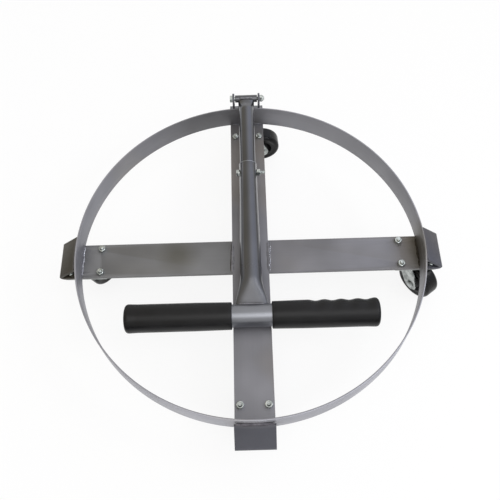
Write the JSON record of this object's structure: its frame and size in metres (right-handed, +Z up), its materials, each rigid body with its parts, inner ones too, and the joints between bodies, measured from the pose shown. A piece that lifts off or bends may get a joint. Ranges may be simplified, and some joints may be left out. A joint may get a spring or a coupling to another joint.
{
  "type": "drum trolley",
  "caption": "Low round drum trolley: a steel ring on a cross of flat bars with folded braces, swivel castors under the bar ends and a hinged tee handle with rubber grips.",
  "frame": {"origin": "on the floor under the middle of the ring", "axes": "+Z up; +Y to the back, where the handle is hinged; +X to the right; the handle lies folded on the front bar"},
  "size_m": [0.4702, 0.4715, 0.1147],
  "materials": {
    "frame_steel": "satin bare steel, drawn flat bar",
    "tube_steel": "smooth drawn tube, half gloss",
    "weld_metal": "smooth weld bead",
    "zinc_plate": "bright zinc plating",
    "bearing_steel": "ground steel",
    "wheel_rubber": "smooth black rubber",
    "wheel_plastic": "black moulded plastic",
    "grip_rubber": "matt black moulded rubber"
  },
  "bodies": {
    "chassis": {"drum_ring": "frame_steel", "long_bar": "frame_steel", "left_arm": "frame_steel", "right_arm": "frame_steel", "frame_welds": "weld_metal", "hinge_ear_left": "frame_steel", "hinge_ear_right": "frame_steel", "hinge_bolt": "zinc_plate", "hinge_nut": "zinc_plate", "castor_bolts": "zinc_plate", "castor_nuts": "zinc_plate", "front_castor_plate": "zinc_plate", "front_kingpin": "zinc_plate", "front_retainer": "zinc_plate", "right_castor_plate": "zinc_plate", "right_kingpin": "zinc_plate", "right_retainer": "zinc_plate", "back_castor_plate": "zinc_plate", "back_kingpin": "zinc_plate", "back_retainer": "zinc_plate", "left_castor_plate": "zinc_plate", "left_kingpin": "zinc_plate", "left_retainer": "zinc_plate"},
    "handle": {"inner_tube": "tube_steel", "outer_tube": "tube_steel", "tee_bar": "tube_steel", "hinge_barrel": "tube_steel", "handle_welds": "weld_metal", "grip_left": "grip_rubber", "grip_right": "grip_rubber", "joint_bolt": "zinc_plate", "joint_nut": "zinc_plate"},
    "front_swivel": {"front_ball_ring": "bearing_steel", "front_fork": "zinc_plate", "front_axle": "zinc_plate", "front_axle_sleeve": "bearing_steel"},
    "front_wheel": {"front_wheel_core": "wheel_plastic", "front_tyre": "wheel_rubber"},
    "right_swivel": {"right_ball_ring": "bearing_steel", "right_fork": "zinc_plate", "right_axle": "zinc_plate", "right_axle_sleeve": "bearing_steel"},
    "right_wheel": {"right_wheel_core": "wheel_plastic", "right_tyre": "wheel_rubber"},
    "back_swivel": {"back_ball_ring": "bearing_steel", "back_fork": "zinc_plate", "back_axle": "zinc_plate", "back_axle_sleeve": "bearing_steel"},
    "back_wheel": {"back_wheel_core": "wheel_plastic", "back_tyre": "wheel_rubber"},
    "left_swivel": {"left_ball_ring": "bearing_steel", "left_fork": "zinc_plate", "left_axle": "zinc_plate", "left_axle_sleeve": "bearing_steel"},
    "left_wheel": {"left_wheel_core": "wheel_plastic", "left_tyre": "wheel_rubber"}
  },
  "joints": [
    {"name": "handle_fold", "type": "hinge", "parent": "chassis", "child": "handle", "pos_m": [0, 0.2189, 0.1065], "axis": [-1, 0, 0], "range_deg": [0, 200]},
    {"name": "front_swivel_turn", "type": "hinge", "parent": "chassis", "child": "front_swivel", "pos_m": [0, -0.2032, 0.0571], "axis": [0, 0, 1], "continuous": true},
    {"name": "front_wheel_spin", "type": "hinge", "parent": "front_swivel", "child": "front_wheel", "pos_m": [-0.00067, -0.18401, 0.0255], "axis": [-0.9994, -0.0349, 0], "continuous": true},
    {"name": "right_swivel_turn", "type": "hinge", "parent": "chassis", "child": "right_swivel", "pos_m": [0.2032, 0, 0.0571], "axis": [0, 0, 1], "continuous": true},
    {"name": "right_wheel_spin", "type": "hinge", "parent": "right_swivel", "child": "right_wheel", "pos_m": [0.21449, -0.01553, 0.0255], "axis": [0.809, 0.5878, 0], "continuous": true},
    {"name": "back_swivel_turn", "type": "hinge", "parent": "chassis", "child": "back_swivel", "pos_m": [0, 0.2032, 0.0571], "axis": [0, 0, 1], "continuous": true},
    {"name": "back_wheel_spin", "type": "hinge", "parent": "back_swivel", "child": "back_wheel", "pos_m": [0.01915, 0.20454, 0.0255], "axis": [-0.0698, 0.9976, 0], "continuous": true},
    {"name": "left_swivel_turn", "type": "hinge", "parent": "chassis", "child": "left_swivel", "pos_m": [-0.2032, 0, 0.0571], "axis": [0, 0, 1], "continuous": true},
    {"name": "left_wheel_spin", "type": "hinge", "parent": "left_swivel", "child": "left_wheel", "pos_m": [-0.19191, 0.01553, 0.0255], "axis": [-0.809, 0.5878, 0], "continuous": true}
  ]
}
